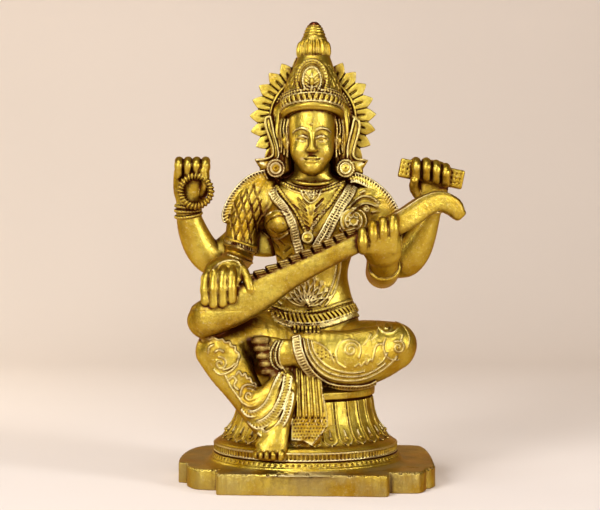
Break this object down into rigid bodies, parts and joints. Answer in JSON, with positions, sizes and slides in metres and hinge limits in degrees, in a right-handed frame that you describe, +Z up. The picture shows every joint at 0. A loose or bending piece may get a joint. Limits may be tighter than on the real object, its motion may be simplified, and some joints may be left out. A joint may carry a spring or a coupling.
{
  "type": "saraswati figure",
  "caption": "Cast brass figure of seated Saraswati playing a veena, raised hands with rosary and palm-leaf book, with crown, halo, lotus seat and lobed plinth",
  "frame": {"origin": "on the underside of the plinth, below the middle of the lotus seat", "axes": "+Z up, the figure faces -Y, +X to the right of someone who looks at its front"},
  "size_m": [0.128, 0.092, 0.203],
  "materials": {
    "brass": "polished cast brass with brown patina in the recesses and fine casting grain"
  },
  "bodies": {
    "root": {"saraswati_figure": "brass"}
  },
  "joints": []
}
